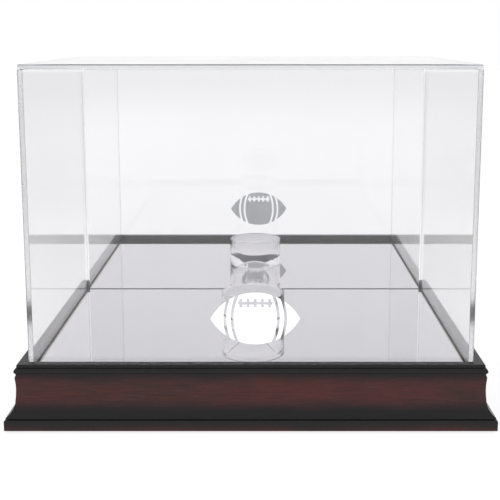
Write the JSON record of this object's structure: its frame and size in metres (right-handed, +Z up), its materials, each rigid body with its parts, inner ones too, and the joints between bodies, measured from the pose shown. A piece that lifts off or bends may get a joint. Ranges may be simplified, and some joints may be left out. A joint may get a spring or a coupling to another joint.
{
  "type": "football display case",
  "caption": "Clear lift-off cover with a mirrored back on a moulded mahogany base with a mirror floor; a short clear ring inside holds the ball.",
  "frame": {"origin": "under the middle of the base, on the surface that the four felt pads stand on", "axes": "+X to the right along the case's width, +Y from the front panel to the mirrored back, +Z up"},
  "size_m": [0.34, 0.245, 0.252],
  "materials": {
    "mahogany": "satin",
    "raw_pine": "matte",
    "fibreboard": "matte",
    "steel": "satin",
    "felt": "matte",
    "clear_acrylic": "polished",
    "silvered": "polished",
    "foam_tape": "matte",
    "white_vinyl": "satin"
  },
  "bodies": {
    "base": {"front_rail": "mahogany", "back_rail": "mahogany", "left_rail": "mahogany", "right_rail": "mahogany", "corner_block_front_left": "raw_pine", "corner_block_front_right": "raw_pine", "corner_block_back_left": "raw_pine", "corner_block_back_right": "raw_pine", "mitre_nails": "steel", "deck_board": "fibreboard", "floor_mirror": "silvered", "bottom_panel": "fibreboard", "bottom_screws": "steel", "foot_pad_front_left": "felt", "foot_pad_front_right": "felt", "foot_pad_back_left": "felt", "foot_pad_back_right": "felt"},
    "cover": {"front_panel": "clear_acrylic", "back_panel": "clear_acrylic", "left_panel": "clear_acrylic", "right_panel": "clear_acrylic", "top_panel": "clear_acrylic", "back_mirror": "silvered", "mirror_tape": "foam_tape", "front_emblem": "white_vinyl"},
    "ring": {"ring_stand": "clear_acrylic"}
  },
  "joints": [
    {"name": "cover_lift", "type": "slide", "parent": "base", "child": "cover", "axis": [0, 0, 1], "range_m": [0, 0.2]},
    {"name": "ring_lift", "type": "slide", "parent": "base", "child": "ring", "axis": [0, 0, 1], "range_m": [0, 0.1]}
  ]
}
